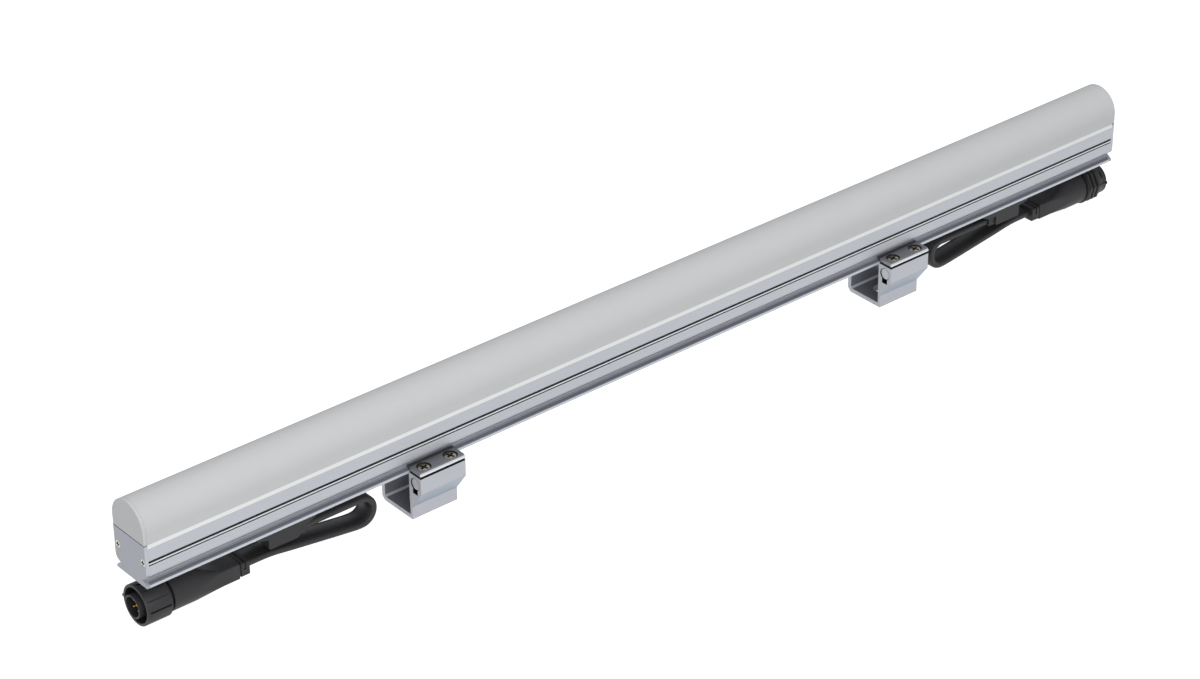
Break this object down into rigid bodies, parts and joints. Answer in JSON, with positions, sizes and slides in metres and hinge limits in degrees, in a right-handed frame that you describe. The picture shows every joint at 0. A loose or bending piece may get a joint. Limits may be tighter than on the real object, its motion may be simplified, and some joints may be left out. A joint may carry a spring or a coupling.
{
  "type": "outdoor wall washer light",
  "caption": "Slim linear outdoor wall washer light with a milky half-round diffuser, sliding clamp brackets and a short flat cable with a round connector at each end.",
  "frame": {"origin": "on the mounting surface, below the middle of the luminaire and its brackets", "axes": "+X along the luminaire towards the end with the socket connector, +Y towards the brackets' hooks, +Z away from the mounting surface"},
  "size_m": [1.0037, 0.0566, 0.1068],
  "materials": {
    "housing": "satin anodised extrusion",
    "diffuser": "milky polycarbonate, satin",
    "seal_strip": "pale silicone, matte",
    "end_cap": "fine blasted and anodised",
    "gasket": "dark rubber, matte",
    "small_screw": "nickel plated steel",
    "led_board": "white solder mask",
    "led": "moulded LED body",
    "driver_board": "green solder mask",
    "component": "moulded epoxy",
    "wire": "insulated wire",
    "black_plastic": "fine textured black nylon",
    "cable_jacket": "smooth black rubber",
    "insert": "moulded black insert",
    "contact": "gold plated",
    "bracket": "satin anodised extrusion",
    "clamp_plate": "satin anodised, darker",
    "clamp_screw": "plated steel",
    "nut_bar": "plain steel"
  },
  "bodies": {
    "luminaire": {"housing_profile": "housing", "diffuser": "diffuser", "diffuser_seal_strips": "seal_strip", "left_end_cap": "end_cap", "right_end_cap": "end_cap", "left_diffuser_end": "diffuser", "right_diffuser_end": "diffuser", "left_end_gasket": "gasket", "right_end_gasket": "gasket", "left_end_screws": "small_screw", "right_end_screws": "small_screw", "led_board": "led_board", "led_chips": "led", "led_board_screws": "small_screw", "driver_board": "driver_board", "driver_components": "component", "left_lead_wires": "wire", "right_lead_wires": "wire", "feed_wires": "wire", "left_gland_block": "black_plastic", "right_gland_block": "black_plastic", "left_gland_screws": "small_screw", "right_gland_screws": "small_screw", "left_gland_seal": "gasket", "right_gland_seal": "gasket", "left_cable": "cable_jacket", "right_cable": "cable_jacket", "left_connector_body": "black_plastic", "left_contact_insert": "insert", "left_contact_pins": "contact", "left_connector_seal": "gasket", "right_connector_body": "black_plastic", "right_contact_insert": "insert", "right_contact_sockets": "contact", "right_connector_seal": "gasket"},
    "coupling_nut": {"left_coupling_nut": "black_plastic"},
    "left_bracket": {"left_bracket_base": "bracket", "left_nut_bar": "nut_bar"},
    "left_clamp_plate": {"left_clamp_plate": "clamp_plate"},
    "left_clamp_screw_a": {"left_clamp_screw_a": "clamp_screw"},
    "left_clamp_screw_b": {"left_clamp_screw_b": "clamp_screw"},
    "right_bracket": {"right_bracket_base": "bracket", "right_nut_bar": "nut_bar"},
    "right_clamp_plate": {"right_clamp_plate": "clamp_plate"},
    "right_clamp_screw_a": {"right_clamp_screw_a": "clamp_screw"},
    "right_clamp_screw_b": {"right_clamp_screw_b": "clamp_screw"}
  },
  "joints": [
    {"name": "coupling_nut_turn", "type": "hinge", "parent": "luminaire", "child": "coupling_nut", "pos_m": [-0.489, 0.0028, 0.018], "axis": [1, 0, 0], "continuous": true},
    {"name": "left_bracket_slide", "type": "slide", "parent": "luminaire", "child": "left_bracket", "axis": [1, 0, 0], "range_m": [-0.02, 0.22]},
    {"name": "left_clamp_lift", "type": "slide", "parent": "left_bracket", "child": "left_clamp_plate", "axis": [0, 0, 1], "range_m": [0, 0.0012]},
    {"name": "left_clamp_screw_a_turn", "type": "hinge", "parent": "left_clamp_plate", "child": "left_clamp_screw_a", "pos_m": [-0.2561, -0.021, 0.0454], "axis": [0, 0, 1], "range_deg": [0, 541]},
    {"name": "left_clamp_screw_b_turn", "type": "hinge", "parent": "left_clamp_plate", "child": "left_clamp_screw_b", "pos_m": [-0.2311, -0.021, 0.0454], "axis": [0, 0, 1], "range_deg": [0, 541]},
    {"name": "right_bracket_slide", "type": "slide", "parent": "luminaire", "child": "right_bracket", "axis": [-1, 0, 0], "range_m": [-0.02, 0.22]},
    {"name": "right_clamp_lift", "type": "slide", "parent": "right_bracket", "child": "right_clamp_plate", "axis": [0, 0, 1], "range_m": [0, 0.0012]},
    {"name": "right_clamp_screw_a_turn", "type": "hinge", "parent": "right_clamp_plate", "child": "right_clamp_screw_a", "pos_m": [0.2311, -0.021, 0.0454], "axis": [0, 0, 1], "range_deg": [0, 541]},
    {"name": "right_clamp_screw_b_turn", "type": "hinge", "parent": "right_clamp_plate", "child": "right_clamp_screw_b", "pos_m": [0.2561, -0.021, 0.0454], "axis": [0, 0, 1], "range_deg": [0, 541]}
  ],
  "couplings": [
    {"joint": "left_clamp_screw_a_turn", "follows": "left_clamp_lift", "rad_per_m": 7854},
    {"joint": "left_clamp_screw_b_turn", "follows": "left_clamp_lift", "rad_per_m": 7854},
    {"joint": "right_clamp_screw_a_turn", "follows": "right_clamp_lift", "rad_per_m": 7854},
    {"joint": "right_clamp_screw_b_turn", "follows": "right_clamp_lift", "rad_per_m": 7854}
  ]
}
